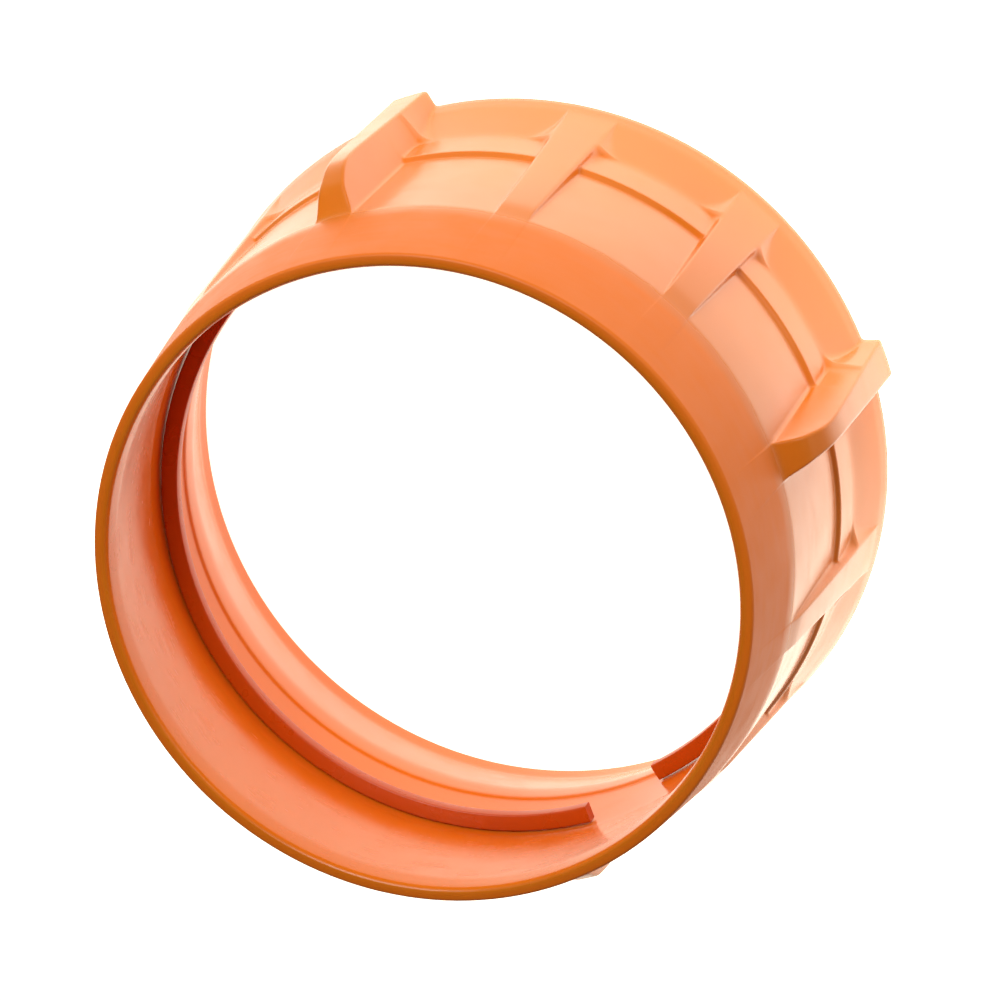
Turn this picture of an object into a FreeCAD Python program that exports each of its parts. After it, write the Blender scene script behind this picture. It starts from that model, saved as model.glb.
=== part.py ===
import FreeCAD, Part
import math
import os

# Ribbed pipe coupling ring with a split lock ring loose in its bore, in mm.
# It stands on its rear flange, mouth up, with the origin on the axis at the rear face.
# Depths are measured down from the mouth's face. +X points at one of the four grip lugs.

# Driving dimensions.
height = 79.4
mouth_radius = 58.8
mouth_wall = 2.5
mouth_land = 4.0
lead_in = 0.8
band_depth = 21.9
band_radius = 64.4
flange_radius = 70.5
flange_thickness = 4.0
flange_taper = 0.5
rear_bore_radius = 68.0
rear_land = 4.0

# Rib crests carry the band's slope on to a knee, then run straight to the flange.
rib_knee_depth = 26.4
rib_knee_radius = 65.2

# The pocket floors between the ribs, with one low step, and the slope up to the flange.
pocket_front_radius = 64.3
step_depth = 52.4
step_run = 0.8
step_height = 0.9
step_radius = 65.7
pocket_foot_depth = 63.4
pocket_foot_radius = 66.9

# Bore wall behind the groove.
flare_depth = 58.4
flare_radius = 63.3

# Groove for the lock ring, and the ring itself. The bore's taper towards the mouth holds it in.
groove_top_depth = 35.0
groove_bottom_depth = 53.0
groove_radius = 63.3
groove_lip_radius = 62.8
groove_clearance = 0.3
lock_crest_radius = 59.7
lock_axial = 2.6
lock_lead = 10.8
lock_turn = 349.0
lock_start_angle = -77.0
lock_start_level = 31.6

# Ribs and lugs: flat drafted sides, half-width = base - draft * radius + spread * depth.
rib_count = 12
lug_every = 3
rib_front_half = 3.0
rib_rear_half = 5.5
rib_side_draft = 0.12
lug_front_half = 3.55
lug_rear_half = 4.45
lug_side_draft = 0.25
lug_toe_depth = 25.4
lug_toe_radius = 68.5
lug_brow_depth = 30.9
lug_brow_radius = 72.2
lug_knee_depth = 36.4
lug_knee_radius = 72.9
lug_rear_radius = 73.8

# Where each lug's root sits inside the wall: at the band, at the flare and at the rear face.
lug_root_band_radius = 63.5
lug_root_flare_radius = 65.3
lug_root_rear_radius = 69.2

axis = FreeCAD.Vector(0, 0, 1)
centre = FreeCAD.Vector(0, 0, 0)
flange_depth = height - flange_thickness


def level(depth):
    return height - depth


def radial_face(outline):
    # A flat face in the XZ plane from (radius, depth) pairs.
    corners = [FreeCAD.Vector(radius, 0, level(depth)) for radius, depth in outline]
    return Part.Face(Part.makePolygon(corners + corners[:1]))


def turned(outline):
    return radial_face(outline).revolve(centre, axis, 360)


def slab(outline, width):
    # The same outline as a plate of the given width, centred on the XZ plane.
    face = radial_face(outline)
    face.translate(FreeCAD.Vector(0, -width / 2, 0))
    return face.extrude(FreeCAD.Vector(0, width, 0))


def drafted_block(front_half, rear_half, draft, low_radius, high_radius):
    # A block along +X that widens towards the rear and narrows outwards. The halves hold at
    # the band's radius in front and the flange's radius at the back.
    spread = (rear_half - front_half + draft * (flange_radius - band_radius)) / (height - band_depth)

    def half(radius, depth):
        return front_half - draft * (radius - band_radius) + spread * (depth - band_depth)

    sections = []
    for depth in (band_depth - 1.0, height):
        corners = []
        for radius, side in ((low_radius, -1), (high_radius, -1), (high_radius, 1), (low_radius, 1)):
            corners.append(FreeCAD.Vector(radius, side * half(radius, depth), level(depth)))
        sections.append(Part.makePolygon(corners + corners[:1]))
    return Part.makeLoft(sections, True, True)


def round_copies(shape, count):
    copies = []
    for index in range(count):
        copy = shape.copy()
        copy.rotate(centre, axis, 360.0 * index / count)
        copies.append(copy)
    return copies


def coupling_ring():
    shell = turned([
        (mouth_radius + lead_in, 0.0),
        (mouth_radius + mouth_wall, 0.0),
        (band_radius, band_depth),
        (rib_knee_radius, rib_knee_depth),
        (flange_radius - flange_taper, flange_depth),
        (flange_radius, height),
        (rear_bore_radius, height),
        (rear_bore_radius, height - rear_land),
        (flare_radius, flare_depth),
        (groove_lip_radius, groove_bottom_depth),
        (groove_radius, groove_bottom_depth),
        (groove_radius, groove_top_depth),
        (mouth_radius, mouth_land + lead_in),
        (mouth_radius, lead_in),
    ])
    pocket_band = turned([
        (pocket_front_radius, band_depth),
        (step_radius, step_depth),
        (step_radius + step_height, step_depth + step_run),
        (pocket_foot_radius, pocket_foot_depth),
        (flange_radius - flange_taper, flange_depth),
        (flange_radius + 5.0, flange_depth),
        (flange_radius + 5.0, band_depth),
    ])
    rib = drafted_block(rib_front_half, rib_rear_half, rib_side_draft, 60.0, 78.0)
    pockets = pocket_band.cut(round_copies(rib, rib_count))
    body = shell.cut(pockets)

    lug_outline = [
        (lug_root_band_radius, band_depth),
        (band_radius, band_depth),
        (lug_toe_radius, lug_toe_depth),
        (lug_brow_radius, lug_brow_depth),
        (lug_knee_radius, lug_knee_depth),
        (lug_rear_radius, height),
        (lug_root_rear_radius, height),
        (lug_root_flare_radius, flare_depth),
    ]
    lug_sides = drafted_block(lug_front_half, lug_rear_half, lug_side_draft, 60.0, 76.0)
    lug = slab(lug_outline, 40.0).common(lug_sides)
    lug_count = rib_count // lug_every
    return body.fuse(round_copies(lug, lug_count)).removeSplitter()


def lock_ring():
    # One turn of a rectangular strip that climbs as it goes round, with two square-cut ends.
    outer = groove_radius - groove_clearance
    rise = lock_lead * lock_turn / 360.0
    path = Part.Wire(Part.makeHelix(lock_lead, rise, outer).Edges)
    section = Part.makePolygon([
        FreeCAD.Vector(radius, 0, high) for radius, high in (
            (lock_crest_radius, -lock_axial / 2),
            (outer, -lock_axial / 2),
            (outer, lock_axial / 2),
            (lock_crest_radius, lock_axial / 2),
            (lock_crest_radius, -lock_axial / 2),
        )
    ])
    ring = path.makePipeShell([section], True, True)
    ring.rotate(centre, axis, lock_start_angle)
    ring.translate(FreeCAD.Vector(0, 0, lock_start_level))
    return ring


def main():
    os.makedirs("parts", exist_ok=True)
    for name, make in (("coupling_ring", coupling_ring), ("lock_ring", lock_ring)):
        shape = make()
        solids = shape.Solids
        shape = solids[0] if len(solids) == 1 else shape
        shape.exportStep("parts/" + name + ".step")
        box = shape.BoundBox
        print(name, "solids", len(solids), "valid", shape.isValid(), "cm3", round(shape.Volume / 1000, 2),
              "x", round(box.XMin, 2), round(box.XMax, 2), "z", round(box.ZMin, 2), round(box.ZMax, 2))
    section_area = lock_axial * (groove_radius - groove_clearance - lock_crest_radius)
    middle = (groove_radius - groove_clearance + lock_crest_radius) / 2
    print("lock ring by hand, cm3:", round(section_area * math.radians(lock_turn) * middle / 1000, 2))


main()
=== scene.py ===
import math
import bpy
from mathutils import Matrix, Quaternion, Vector


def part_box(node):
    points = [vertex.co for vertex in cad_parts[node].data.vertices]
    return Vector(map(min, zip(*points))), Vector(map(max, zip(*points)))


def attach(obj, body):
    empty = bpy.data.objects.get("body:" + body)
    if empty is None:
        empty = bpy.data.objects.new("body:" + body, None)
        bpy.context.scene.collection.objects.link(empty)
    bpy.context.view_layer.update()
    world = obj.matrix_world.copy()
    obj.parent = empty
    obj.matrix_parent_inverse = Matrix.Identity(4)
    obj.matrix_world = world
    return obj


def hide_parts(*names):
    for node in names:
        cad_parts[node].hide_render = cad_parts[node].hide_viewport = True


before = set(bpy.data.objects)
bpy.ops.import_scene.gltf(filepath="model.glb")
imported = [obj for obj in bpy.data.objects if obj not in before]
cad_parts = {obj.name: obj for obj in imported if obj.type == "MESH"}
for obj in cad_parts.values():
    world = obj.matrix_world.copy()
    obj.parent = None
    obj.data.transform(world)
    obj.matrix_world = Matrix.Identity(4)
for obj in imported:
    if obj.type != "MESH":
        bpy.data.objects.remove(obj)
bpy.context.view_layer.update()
print("stage 1: frame loaded, nodes", sorted(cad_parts))

mm = 0.001
ringLow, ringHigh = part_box("coupling_ring")
lockLow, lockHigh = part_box("lock_ring")
height = (ringHigh[2] - ringLow[2]) / mm


# The camera looks down into the mouth, with the ring's +Y lug towards the top.
camera = {
    "target": (3.11, 0.12, 34.26),
    "azimuth": 32.68,
    "elevation": 65.226,
    "distance": 752.7,
    "roll": -139.69,
    "lens": 143.856,
    "sensor": 36.0,
    "nearest": 0.01,
    "farthest": 20.0,
}


def makeCamera(s):
    azimuth, elevation = math.radians(s["azimuth"]), math.radians(s["elevation"])
    level = math.cos(elevation)
    back = Vector((math.cos(azimuth) * level, math.sin(azimuth) * level, math.sin(elevation)))
    roll = Quaternion((0, 0, 1), math.radians(s["roll"]))
    data = bpy.data.cameras.new("mouthView")
    data.lens = s["lens"]
    data.sensor_width = s["sensor"]
    data.clip_start = s["nearest"]
    data.clip_end = s["farthest"]
    viewer = bpy.data.objects.new("mouthView", data)
    viewer.rotation_mode = "QUATERNION"
    viewer.location = (Vector(s["target"]) + back * s["distance"]) * mm
    viewer.rotation_quaternion = (-back).to_track_quat("-Z", "Y") @ roll
    bpy.context.collection.objects.link(viewer)
    bpy.context.scene.camera = viewer


makeCamera(camera)
print("stage 2: camera placed")


def linear(hexColour):
    # An sRGB hex colour as linear red, green, blue and full alpha.
    channels = [int(hexColour[i:i + 2], 16) / 255 for i in (1, 3, 5)]
    return tuple(c / 12.92 if c <= 0.04045 else ((c + 0.055) / 1.055) ** 2.4 for c in channels) + (1.0,)


def addNode(tree, kind, settings=None, links=None):
    # Adds one node, fills its sockets or properties, and links its inputs from other nodes.
    node = tree.nodes.new(kind)
    for key, value in (settings or {}).items():
        if isinstance(key, int) or key in node.inputs:
            node.inputs[key].default_value = value
        else:
            setattr(node, key, value)
    for key, (source, output) in (links or {}).items():
        tree.links.new(source.outputs[output], node.inputs[key])
    return node


# Injection-moulded polypropylene from a polished tool: glossy, slightly translucent, with a hair of
# orange peel. Lengths in mm; heights are above the rear face.
ringPlastic = {
    "name": "glossMouldedPolypropyleneOrange",
    "deep": "#E37410",
    "pale": "#EC8018",
    "cloud": 38.0,
    "cloudRange": (0.3, 0.72),
    "peel": 2.6,
    "flow": 9.0,
    "flowStretch": 5.0,
    "scuff": 5.5,
    "grainRange": (0.12, 0.42),
    "rough": (0.17, 0.27),
    # Painted shade: the band's more saturated orange stands in for the weak reflection it shows in this
    # light.
    "band": "#F27600",
    "bandRough": 0.3,
    "bandFoot": (57.5, 61.5),
    "bandSkin": (70.1, 70.9),
    "bandLean": 0.132,
    "insideFoot": (43.4, 52.0),
    "insideShare": 0.12,
    "flowRelief": 0.35,
    "reliefDepth": 0.012,
    "reliefStrength": 0.35,
    "ior": 1.47,
    "scatter": 0.04,
    "scatterReach": (4.0, 1.4, 0.4),
}
# The same plastic from a duller tool, a little less glossy, and painted a deeper orange as painted shade for
# the strip that lies deep in the bore.
lockPlastic = dict(ringPlastic, name="satinMouldedPolypropyleneOrangePaintedShade", deep="#C04A06",
                   pale="#CA540A", rough=(0.24, 0.36))


def noise(tree, place, output, size, detail, roughness=0.5):
    # Noise with features of about the given size in mm.
    values = {"Scale": 1 / (size * mm), "Detail": detail, "Roughness": roughness}
    return addNode(tree, "ShaderNodeTexNoise", values, {"Vector": (place, output)})


def fade(tree, source, output, span, low=0.0, high=1.0):
    # Goes from low to high while the input crosses the span.
    values = {"From Min": span[0], "From Max": span[1], "To Min": low, "To Max": high}
    return addNode(tree, "ShaderNodeMapRange", values, {"Value": (source, output)})


def metres(span):
    return tuple(length * mm for length in span)


def makePlastic(s):
    material = bpy.data.materials.new(s["name"])
    material.use_nodes = True
    tree = material.node_tree
    tree.nodes.clear()
    place = addNode(tree, "ShaderNodeTexCoord")
    cloud = noise(tree, place, "Object", s["cloud"], 2.0, 0.4)
    tint = addNode(tree, "ShaderNodeValToRGB", None, {"Fac": (cloud, "Fac")})
    for stop, position, shade in zip(tint.color_ramp.elements, s["cloudRange"], (s["deep"], s["pale"])):
        stop.position = position
        stop.color = linear(shade)
    # Flow lines of the melt, long round the ring and short along its axis.
    stretch = addNode(tree, "ShaderNodeMapping", {"Scale": (1.0, 1.0, s["flowStretch"])},
                      {"Vector": (place, "Object")})
    flow = noise(tree, stretch, "Vector", s["flow"], 3.0)
    scuff = noise(tree, place, "Object", s["scuff"], 3.0)
    mixed = addNode(tree, "ShaderNodeMath", {"operation": "MULTIPLY"}, {0: (flow, "Fac"), 1: (scuff, "Fac")})
    rough = fade(tree, mixed, "Value", s["grainRange"], *s["rough"])
    # The plain band round the mouth, outside, and a little of the bore above the strip are duller than
    # the polished pockets, and are painted a more saturated orange as painted shade for the weak reflection
    # they show in this light. The radius, with the lean added, tells the outside from the bore.
    parts = addNode(tree, "ShaderNodeSeparateXYZ", None, {"Vector": (place, "Object")})
    flat = addNode(tree, "ShaderNodeVectorMath", {"operation": "MULTIPLY", 1: (1.0, 1.0, 0.0)},
                   {0: (place, "Object")})
    radial = addNode(tree, "ShaderNodeVectorMath", {"operation": "LENGTH"}, {0: (flat, "Vector")})
    lean = addNode(tree, "ShaderNodeMath", {"operation": "MULTIPLY_ADD", 1: s["bandLean"]},
                   {0: (parts, "Z"), 2: (radial, "Value")})
    skin = fade(tree, lean, "Value", metres(s["bandSkin"]))
    foot = fade(tree, parts, "Z", metres(s["bandFoot"]))
    inside = fade(tree, parts, "Z", metres(s["insideFoot"]), high=s["insideShare"])
    band = addNode(tree, "ShaderNodeMix", None,
                   {0: (skin, "Result"), 2: (inside, "Result"), 3: (foot, "Result")})
    duller = addNode(tree, "ShaderNodeMath", {"operation": "MULTIPLY_ADD", 1: s["bandRough"]},
                     {0: (band, 0), 2: (rough, "Result")})
    # Painted shade: the band round the mouth takes the more saturated orange.
    colour = addNode(tree, "ShaderNodeMix", {"data_type": "RGBA", 7: linear(s["band"])},
                     {0: (band, 0), 6: (tint, "Color")})
    peel = noise(tree, place, "Object", s["peel"], 1.0)
    relief = addNode(tree, "ShaderNodeMath", {"operation": "MULTIPLY_ADD", 1: s["flowRelief"]},
                     {0: (flow, "Fac"), 2: (peel, "Fac")})
    bump = addNode(tree, "ShaderNodeBump", {
        "Strength": s["reliefStrength"], "Distance": s["reliefDepth"] * mm}, {"Height": (relief, "Value")})
    shader = addNode(tree, "ShaderNodeBsdfPrincipled", {
        "IOR": s["ior"], "Metallic": 0.0, "Subsurface Weight": s["scatter"],
        "Subsurface Radius": metres(s["scatterReach"]), "Subsurface Scale": 1.0,
    }, {"Base Color": (colour, 2), "Roughness": (duller, "Value"), "Normal": (bump, "Normal")})
    addNode(tree, "ShaderNodeOutputMaterial", None, {"Surface": (shader, "BSDF")})
    return material


# Coupling ring. Lengths in mm; depths run down from the mouth's face, radii from the axis. A profile is a
# list of corners, each a depth, a radius and how far from the corner its rounding starts.
ring = {
    "lugs": 4,
    "ribTurn": 30.0,
    "env": [(0.0, 61.3, 0), (21.9, 64.4, 1.5), (26.4, 65.2, 2.0), (75.4, 69.9, 0.8), (height, 70.5, 0)],
    "lug": [(0.0, 61.3, 0), (22.1, 64.43, 1.2), (25.4, 69.2, 1.4), (30.9, 72.2, 2.4), (36.9, 72.9, 3.0),
            (height, 73.8, 0)],
    "floor": [(0.0, 61.3, 0), (21.9, 64.3, 0.5), (52.1, 65.6, 0.35), (52.9, 66.5, 0.35),
              (62.9, 66.9, 1.6), (75.0, 69.8, 0.9), (height, 70.5, 0)],
    "bore": [(0.0, 59.5, 0), (0.7, 58.8, 0.3), (4.8, 58.8, 1.0), (35.0, 63.3, 0.4), (52.4, 63.3, 0.2),
             (53.0, 62.8, 0.5), (58.4, 63.3, 2.2), (75.0, 68.0, 1.2), (height, 68.0, 0)],
    "bandDepth": 21.9,
    "bandRadius": 64.4,
    # A rib's half width: at the band, more per mm of depth, less per mm of radius.
    "ribHalf": (2.95, 0.047, 0.12),
    "lugHalf": (3.55, 0.0422, 0.25),
    "crestSteps": (0.0, 0.5, 0.85),
    "edgeRound": 0.55,
    "edgeLeast": 0.2,
    "edgeShare": 0.4,
    "footRound": 0.7,
    "footGrow": 0.3,
    "footLeast": 0.25,
    "footShare": 0.45,
    "footSpread": 0.3,
    "roundSteps": 4,
    "floorSteps": 5,
    # The pocket's rounded rear corners, and how much of them ribs and lugs take.
    "cornerRound": 4.5,
    "cornerShare": (0.7, 0.3),
    "cornerFoot": 62.9,
    "cornerTop": 75.2,
    # Roundings of the two rims: shares of a quarter turn on the outside, and in the bore pairs of the
    # distance from the rim's face and what the radius gains.
    "rimRound": 0.45,
    "rimTuck": 0.1,
    "rimSteps": (0.0, 0.33, 0.66),
    "rearRound": 0.5,
    "rearSteps": (0.4, 0.75, 1.0),
    "rearFaceSteps": (0.3, 0.65, 0.88),
    "boreRear": ((0.0, 0.3), (0.08, 0.08), (0.3, 0.0)),
    "boreMouth": ((0.14, -0.35), (0.0, 0.1), (0.0, 0.7)),
    # Mesh rows: places round a corner as shares of its rounding, and the least and most between rows.
    "cornerRows": (-1.0, -0.5, 0.0, 0.5, 1.0),
    "rowLeast": 0.2,
    "rowMost": 1.8,
    "weld": 0.01,
}


def bezier(a, b, c, steps):
    # Points along the rounding from a to c that starts and ends on the two sides of corner b.
    made = []
    for index in range(steps + 1):
        t = index / steps
        made.append(tuple(a[k] * (1 - t) ** 2 + 2 * b[k] * t * (1 - t) + c[k] * t * t for k in range(len(a))))
    return made


def towards(a, b, length):
    # The point that far from a on the way to b, never past the middle.
    gap = math.dist(a, b)
    share = min(0.48, length / gap) if gap > 1e-9 else 0.0
    return tuple(a[k] + (b[k] - a[k]) * share for k in range(len(a)))


def roundedProfile(points, steps=8):
    # Turns (depth, radius, rounding) corners into a function radius(depth).
    line = [points[0][:2]]
    for before, corner, after in zip(points, points[1:], points[2:]):
        middle = corner[:2]
        if corner[2] > 0:
            start = towards(middle, before[:2], corner[2])
            end = towards(middle, after[:2], corner[2])
            line.extend(bezier(start, middle, end, steps))
        else:
            line.append(middle)
    line.append(points[-1][:2])

    def radius(depth):
        for (d0, r0), (d1, r1) in zip(line, line[1:]):
            if depth <= d1:
                return r0 + (r1 - r0) * (depth - d0) / max(d1 - d0, 1e-9)
        return line[-1][1]
    return radius


def rowDepths(s):
    # Depths of the mesh's rows, close together where a profile turns and evenly filled in between.
    first, last = s["rimRound"], height - s["rearRound"]
    wanted = {first, last}
    for name in ("env", "lug", "floor", "bore"):
        for corner, _, rounding in s[name][1:-1]:
            wanted.update(corner + share * max(rounding, 2 * s["rowLeast"]) for share in s["cornerRows"])
    rows = [first]
    for depth in sorted(wanted):
        gap = depth - rows[-1]
        if gap < s["rowLeast"] or depth > last:
            continue
        parts = math.ceil(gap / s["rowMost"])
        rows += [rows[-1] + gap * part / parts for part in range(1, parts + 1)]
    return rows


def halfWidth(rule, s, radius, depth):
    # Half a rib's width where its side passes this radius.
    base, spread, draft = rule
    return base + spread * max(0.0, depth - s["bandDepth"]) - draft * (radius - s["bandRadius"])


def cornerGrowth(s, depth):
    # How far the pocket's rounded rear corners stand in from the rib's side.
    start = s["cornerFoot"] - s["cornerRound"]
    if depth < start:
        return 0.0
    if depth < s["cornerFoot"]:
        rise = depth - start
        return s["cornerRound"] - math.sqrt(max(0.0, s["cornerRound"] ** 2 - rise ** 2))
    if depth < s["cornerTop"]:
        share = (depth - s["cornerFoot"]) / (s["cornerTop"] - s["cornerFoot"])
        return s["cornerRound"] * (1 - share) ** 2
    return 0.0


def ribSection(s, curves, tall, depth):
    # Half a rib across its width at one depth: (offset from its middle, radius), out to the pocket floor.
    top, low = curves["lug" if tall else "env"](depth), curves["floor"](depth)
    rule = s["lugHalf" if tall else "ribHalf"]
    growth = cornerGrowth(s, depth)
    topHalf = halfWidth(rule, s, top, depth)
    footHalf = max(topHalf + s["footSpread"], halfWidth(rule, s, low, depth))
    footHalf += growth * s["cornerShare"][tall]
    edge, foot = (topHalf, top), (footHalf, low)
    wall = math.dist(edge, foot)
    topRound = min(s["edgeRound"], wall * s["edgeShare"])
    footRound = min(s["footRound"] + s["footGrow"] * growth, wall * s["footShare"])
    crestHalf = topHalf - max(topRound, s["edgeLeast"])
    floorPoint = (footHalf + max(footRound, s["footLeast"]), low)
    section = [(crestHalf * share, top) for share in s["crestSteps"]]
    section += bezier((crestHalf, top), edge, towards(edge, foot, topRound), s["roundSteps"])
    section += bezier(towards(foot, edge, footRound), foot, floorPoint, s["roundSteps"])
    return section


def outerRow(s, curves, depth):
    # One quarter of the outside at one depth, from mid pocket to mid pocket, as (angle, radius).
    turn = math.radians(s["ribTurn"])
    halves = []
    for tall in (False, True):
        section = ribSection(s, curves, tall, depth)
        points = [(math.atan2(offset, radius), radius) for offset, radius in section]
        last, floor = points[-1]
        for index in range(1, s["floorSteps"] + 1):
            points.append((last + (turn / 2 - last) * index / s["floorSteps"], floor))
        halves.append(points)
    rib, lug = halves
    row = []
    for centre, points in ((-turn, rib), (0.0, lug), (turn, rib)):
        side = [(centre - angle, radius) for angle, radius in reversed(points)]
        side += [(centre + angle, radius) for angle, radius in points[1:]]
        row += side[1:] if row else side
    return row


def boreRow(curves, row, depth):
    # The bore at one depth, on the angles of a row of the outside.
    return [(angle, curves["bore"](depth)) for angle, _ in row]


def moved(row, offset):
    return [(angle, radius + offset) for angle, radius in row]


def ringSector(s):
    # The quarter's closed skin as (row, depth) pairs: down the outside, over the rear face, up the bore.
    curves = {name: roundedProfile(s[name]) for name in ("env", "lug", "floor", "bore")}
    depths = rowDepths(s)
    start = outerRow(s, curves, depths[0])
    rear = outerRow(s, curves, depths[-1])
    rows = []
    for step in s["rimSteps"]:
        lean = s["rimRound"] * (1 - math.sin(step * math.pi / 2)) + s["rimTuck"]
        drop = s["rimRound"] * (1 - math.cos(step * math.pi / 2))
        rows.append((moved(start, -lean), drop))
    for depth in depths:
        rows.append((outerRow(s, curves, depth), depth))
    for step in s["rearSteps"]:
        lean = s["rearRound"] * (1 - math.cos(step * math.pi / 2))
        drop = s["rearRound"] * (1 - math.sin(step * math.pi / 2))
        rows.append((moved(rear, -lean), height - drop))
    outside, edge = rows[-1][0], moved(boreRow(curves, rear, height), s["boreRear"][0][1])
    for share in s["rearFaceSteps"]:
        row = [(angle, r0 + (r1 - r0) * share) for (angle, r0), (_, r1) in zip(outside, edge)]
        rows.append((row, height))
    for rise, offset in s["boreRear"]:
        rows.append((moved(boreRow(curves, rear, height - rise), offset), height - rise))
    for depth in reversed(depths):
        rows.append((boreRow(curves, start, depth), depth))
    for depth, offset in s["boreMouth"]:
        rows.append((moved(boreRow(curves, start, 0.0), offset), depth))
    return rows


def sectorMesh(name, rows):
    vertices, faces = [], []
    width = len(rows[0][0])
    for row, depth in rows:
        for angle, radius in row:
            across = radius * mm
            vertices.append((across * math.cos(angle), across * math.sin(angle), (height - depth) * mm))
    for i in range(len(rows)):
        j = (i + 1) % len(rows)
        for k in range(width - 1):
            faces.append((i * width + k, j * width + k, j * width + k + 1, i * width + k + 1))
    mesh = bpy.data.meshes.new(name)
    mesh.from_pydata(vertices, [], faces)
    mesh.validate()
    return mesh


def newTree(name, inputs):
    tree = bpy.data.node_groups.new(name, "GeometryNodeTree")
    tree.interface.new_socket("Geometry", in_out="INPUT", socket_type="NodeSocketGeometry")
    keys = {}
    for label, kind in inputs:
        socket = tree.interface.new_socket(label, in_out="INPUT", socket_type=kind)
        keys[label] = socket.identifier
    tree.interface.new_socket("Geometry", in_out="OUTPUT", socket_type="NodeSocketGeometry")
    return tree, keys


def applyTree(piece, tree, values):
    # Runs the tree once on the piece and keeps the plain mesh that it makes.
    modifier = piece.modifiers.new(tree.name, "NODES")
    modifier.node_group = tree
    for key, value in values.items():
        modifier[key] = value
    evaluated = piece.evaluated_get(bpy.context.evaluated_depsgraph_get())
    mesh = bpy.data.meshes.new_from_object(evaluated)
    piece.modifiers.remove(modifier)
    piece.data = mesh


def roundArrayTree():
    # Copies a sector round +Z, joins the copies where they meet, and smooths the shading.
    tree, keys = newTree("sectorsRoundTheRing", [
        ("Sectors", "NodeSocketInt"), ("Weld", "NodeSocketFloat"), ("Finish", "NodeSocketMaterial")])
    given = addNode(tree, "NodeGroupInput")
    line = addNode(tree, "GeometryNodeMeshLine", {"Offset": (0.0, 0.0, 0.0)}, {"Count": (given, "Sectors")})
    step = addNode(tree, "ShaderNodeMath", {"operation": "DIVIDE", 0: 2 * math.pi}, {1: (given, "Sectors")})
    index = addNode(tree, "GeometryNodeInputIndex")
    turn = addNode(tree, "ShaderNodeMath", {"operation": "MULTIPLY"},
                   {0: (step, "Value"), 1: (index, "Index")})
    angles = addNode(tree, "ShaderNodeCombineXYZ", None, {"Z": (turn, "Value")})
    spread = addNode(tree, "GeometryNodeInstanceOnPoints", None, {
        "Points": (line, "Mesh"), "Instance": (given, "Geometry"), "Rotation": (angles, "Vector")})
    real = addNode(tree, "GeometryNodeRealizeInstances", None, {"Geometry": (spread, "Instances")})
    weld = addNode(tree, "GeometryNodeMergeByDistance", None, {
        "Geometry": (real, "Geometry"), "Distance": (given, "Weld")})
    smooth = addNode(tree, "GeometryNodeSetShadeSmooth", None, {"Geometry": (weld, "Geometry")})
    finish = addNode(tree, "GeometryNodeSetMaterial", None, {
        "Geometry": (smooth, "Geometry"), "Material": (given, "Finish")})
    addNode(tree, "NodeGroupOutput", None, {"Geometry": (finish, "Geometry")})
    return tree, keys


def makeRing(s, material):
    piece = bpy.data.objects.new("couplingRing", sectorMesh("couplingRing", ringSector(s)))
    bpy.context.collection.objects.link(piece)
    tree, keys = roundArrayTree()
    applyTree(piece, tree, {
        keys["Sectors"]: s["lugs"], keys["Weld"]: s["weld"] * mm, keys["Finish"]: material})
    return piece


# Lock ring: a strip of almost one turn that climbs round the groove, with two square-cut ends.
lock = {
    "startAngle": -77.0,
    "turn": 349.0,
    "crest": 59.7,
    "outer": 63.0,
    "axial": 2.6,
    "edgeRound": 0.35,
    "edgeSteps": 3,
    "steps": 300,
}


def stripTree(edgeSteps):
    # Sweeps a rounded rectangle along one turn of a spiral of constant radius.
    tree, keys = newTree("stripRoundTheGroove", [
        ("Turns", "NodeSocketFloat"), ("Radius", "NodeSocketFloat"), ("Rise", "NodeSocketFloat"),
        ("Steps", "NodeSocketInt"), ("Thick", "NodeSocketFloat"), ("Tall", "NodeSocketFloat"),
        ("Round", "NodeSocketFloat"), ("Start Angle", "NodeSocketFloat"), ("Start Level", "NodeSocketFloat"),
        ("Finish", "NodeSocketMaterial")])
    given = addNode(tree, "NodeGroupInput")
    spiral = addNode(tree, "GeometryNodeCurveSpiral", {"Reverse": True}, {
        "Resolution": (given, "Steps"), "Rotations": (given, "Turns"), "Start Radius": (given, "Radius"),
        "End Radius": (given, "Radius"), "Height": (given, "Rise")})
    upright = addNode(tree, "GeometryNodeSetCurveNormal", {"mode": "Z_UP"}, {"Curve": (spiral, "Curve")})
    outline = addNode(tree, "GeometryNodeCurvePrimitiveQuadrilateral", None, {
        "Width": (given, "Thick"), "Height": (given, "Tall")})
    soft = addNode(tree, "GeometryNodeFilletCurve", {"mode": "POLY", "Count": edgeSteps},
                   {"Curve": (outline, "Curve"), "Radius": (given, "Round")})
    strip = addNode(tree, "GeometryNodeCurveToMesh", {"Fill Caps": True}, {
        "Curve": (upright, "Curve"), "Profile Curve": (soft, "Curve")})
    angle = addNode(tree, "ShaderNodeCombineXYZ", None, {"Z": (given, "Start Angle")})
    lift = addNode(tree, "ShaderNodeCombineXYZ", None, {"Z": (given, "Start Level")})
    placed = addNode(tree, "GeometryNodeTransform", None, {
        "Geometry": (strip, "Mesh"), "Rotation": (angle, "Vector"), "Translation": (lift, "Vector")})
    real = addNode(tree, "GeometryNodeRealizeInstances", None, {"Geometry": (placed, "Geometry")})
    finish = addNode(tree, "GeometryNodeSetMaterial", None, {
        "Geometry": (real, "Geometry"), "Material": (given, "Finish")})
    addNode(tree, "NodeGroupOutput", None, {"Geometry": (finish, "Geometry")})
    return tree, keys


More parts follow.
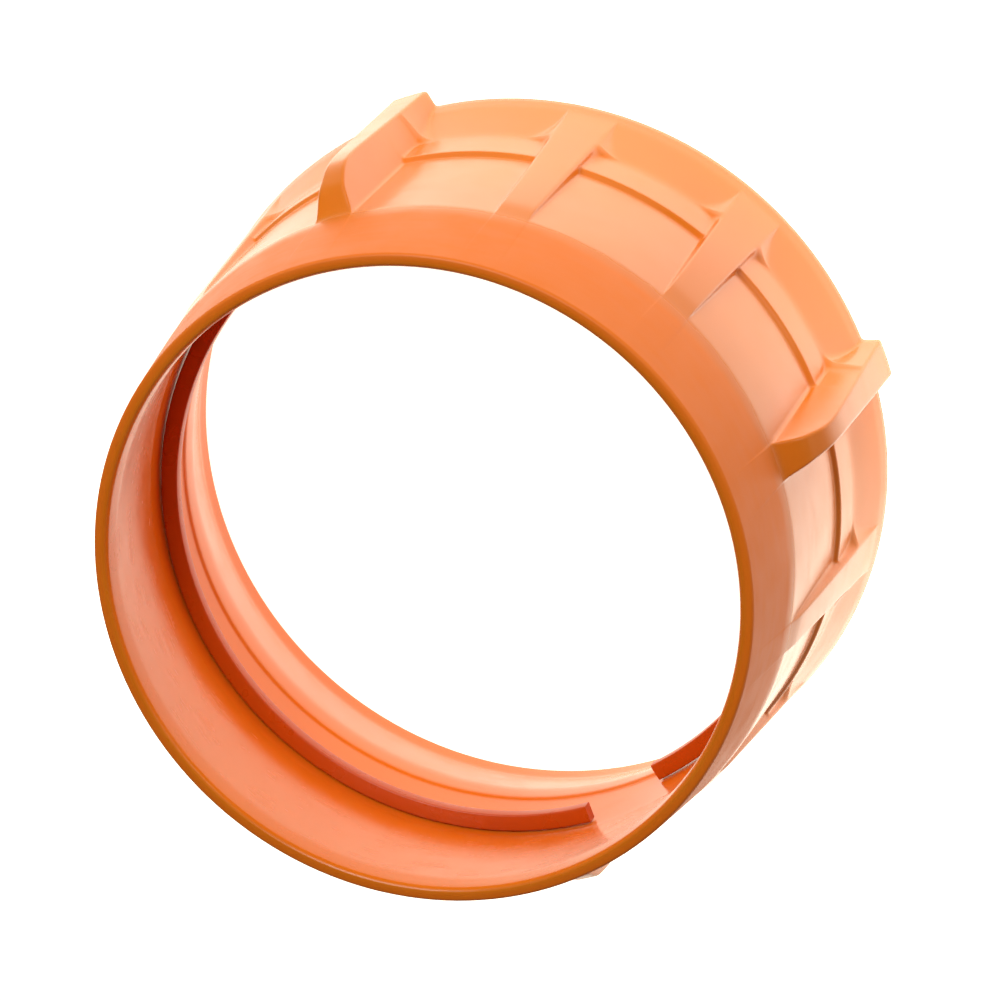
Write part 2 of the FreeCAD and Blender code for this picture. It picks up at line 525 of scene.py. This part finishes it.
def makeLock(s, material):
    piece = bpy.data.objects.new("lockRing", bpy.data.meshes.new("lockRing"))
    bpy.context.collection.objects.link(piece)
    tree, keys = stripTree(s["edgeSteps"])
    rise = (lockHigh[2] - lockLow[2]) / mm - s["axial"]
    applyTree(piece, tree, {
        keys["Turns"]: s["turn"] / 360, keys["Radius"]: (s["crest"] + s["outer"]) / 2 * mm,
        keys["Rise"]: rise * mm, keys["Steps"]: s["steps"], keys["Thick"]: (s["outer"] - s["crest"]) * mm,
        keys["Tall"]: s["axial"] * mm, keys["Round"]: s["edgeRound"] * mm,
        keys["Start Angle"]: math.radians(s["startAngle"]),
        keys["Start Level"]: lockLow[2] + s["axial"] / 2 * mm, keys["Finish"]: material})
    return piece


couplingRing = makeRing(ring, makePlastic(ringPlastic))
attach(couplingRing, "ring")
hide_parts("coupling_ring")
print("stage 3: coupling ring", len(couplingRing.data.polygons), "faces")

lockRing = makeLock(lock, makePlastic(lockPlastic))
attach(lockRing, "lock")
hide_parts("lock_ring")
print("stage 4: lock ring", len(lockRing.data.polygons), "faces")


# Plain pale floor that glows like a light table under the ring, and soft studio light. Lengths in metres.
studio = {
    "floorSize": 6.0,
    "floor": "#8C8B89",
    "floorRough": 0.9,
    "warmth": "#FFF0DC",
    "panel": {
        "centre": (-0.010, -0.0085, 0.0),
        "turn": -17.0,
        "edge": (0.108, 0.19),
        "glow": 1.4,
        "far": 0.45,
    },
    "pool": {
        "centre": (-0.011, 0.004, 0.0),
        "reach": 0.3,
        "most": 1.1,
        "stops": [(0.0, 0.0), (0.066, 0.0), (0.077, 0.8), (0.093, 1.1), (0.109, 0.0)],
    },
    "room": {
        "strength": 0.8,
        "stops": [(0.15, "#8C8C8C"), (0.85, "#4C4C4E")],
    },
    "lampAim": (0.0, 0.0, 0.035),
    "lampDistance": 1.0,
    "lamps": {
        "keySoftBox": {"from": (0.2, 1.0, 1.1), "size": (0.6, 0.6), "power": 6.2},
        "sideSoftBox": {"from": (1.1, 0.3, 0.4), "size": (0.5, 0.5), "power": 1.0},
        "backSoftBox": {"from": (0.25, 1.0, 0.28), "size": (1.1, 0.45), "power": 1.0},
    },
}


def makeFloor(s):
    half = s["floorSize"] / 2
    mesh = bpy.data.meshes.new("floor")
    corners = [(-half, -half, 0), (half, -half, 0), (half, half, 0), (-half, half, 0)]
    mesh.from_pydata(corners, [], [(0, 1, 2, 3)])
    floor = bpy.data.objects.new("floor", mesh)
    bpy.context.collection.objects.link(floor)
    material = bpy.data.materials.new("paleFloor")
    material.use_nodes = True
    tree = material.node_tree
    tree.nodes.clear()
    place = addNode(tree, "ShaderNodeTexCoord")
    # A square light panel with soft edges, and a round band of extra light about the ring's foot.
    panel, pool = s["panel"], s["pool"]
    turned = addNode(tree, "ShaderNodeMapping", {
        "vector_type": "TEXTURE", "Location": panel["centre"],
        "Rotation": (0.0, 0.0, math.radians(panel["turn"])),
    }, {"Vector": (place, "Object")})
    sides = addNode(tree, "ShaderNodeVectorMath", {"operation": "ABSOLUTE"}, {0: (turned, "Vector")})
    parts = addNode(tree, "ShaderNodeSeparateXYZ", None, {"Vector": (sides, "Vector")})
    square = addNode(tree, "ShaderNodeMath", {"operation": "MAXIMUM"}, {0: (parts, "X"), 1: (parts, "Y")})
    plain = addNode(tree, "ShaderNodeMapRange", {
        "interpolation_type": "SMOOTHSTEP", "From Min": panel["edge"][0], "From Max": panel["edge"][1],
        "To Min": panel["glow"], "To Max": panel["far"]}, {"Value": (square, "Value")})
    reach = addNode(tree, "ShaderNodeVectorMath", {"operation": "DISTANCE", 1: pool["centre"]},
                    {0: (place, "Object")})
    share = addNode(tree, "ShaderNodeMath", {"operation": "DIVIDE", 1: pool["reach"]}, {0: (reach, "Value")})
    ramp = addNode(tree, "ShaderNodeValToRGB", None, {"Fac": (share, "Value")})
    stops = ramp.color_ramp.elements
    while len(stops) < len(pool["stops"]):
        stops.new(1.0)
    for stop, (radius, glow) in zip(stops, pool["stops"]):
        stop.position = radius / pool["reach"]
        stop.color = (glow / pool["most"],) * 3 + (1.0,)
    glow = addNode(tree, "ShaderNodeMath", {"operation": "MULTIPLY_ADD", 1: pool["most"]},
                   {0: (ramp, "Color"), 2: (plain, "Result")})
    shader = addNode(tree, "ShaderNodeBsdfPrincipled", {
        "Base Color": linear(s["floor"]), "Roughness": s["floorRough"], "Emission Color": linear(s["warmth"]),
    }, {"Emission Strength": (glow, "Value")})
    addNode(tree, "ShaderNodeOutputMaterial", None, {"Surface": (shader, "BSDF")})
    mesh.materials.append(material)


def makeWorld(room):
    # A grey room that is darker overhead than at the horizon.
    world = bpy.data.worlds.new("studioWorld")
    world.use_nodes = True
    tree = world.node_tree
    tree.nodes.clear()
    place = addNode(tree, "ShaderNodeTexCoord")
    parts = addNode(tree, "ShaderNodeSeparateXYZ", None, {"Vector": (place, "Generated")})
    ramp = addNode(tree, "ShaderNodeValToRGB", None, {"Fac": (parts, "Z")})
    for stop, (rise, colour) in zip(ramp.color_ramp.elements, room["stops"]):
        stop.position = rise
        stop.color = linear(colour)
    back = addNode(tree, "ShaderNodeBackground", {"Strength": room["strength"]}, {"Color": (ramp, "Color")})
    addNode(tree, "ShaderNodeOutputWorld", None, {"Surface": (back, "Background")})
    bpy.context.scene.world = world


def softBox(name, lamp, aim, distance):
    data = bpy.data.lights.new(name, "AREA")
    data.shape = "RECTANGLE"
    data.size, data.size_y = lamp["size"]
    data.energy = lamp["power"]
    box = bpy.data.objects.new(name, data)
    box.location = aim + Vector(lamp["from"]).normalized() * distance
    box.rotation_mode = "QUATERNION"
    box.rotation_quaternion = (aim - box.location).to_track_quat("-Z", "Y")
    bpy.context.collection.objects.link(box)


makeFloor(studio)
makeWorld(studio["room"])
for name, lamp in studio["lamps"].items():
    softBox(name, lamp, Vector(studio["lampAim"]), studio["lampDistance"])
bpy.context.scene.view_settings.view_transform = "Standard"
print("stage 5: studio ready")
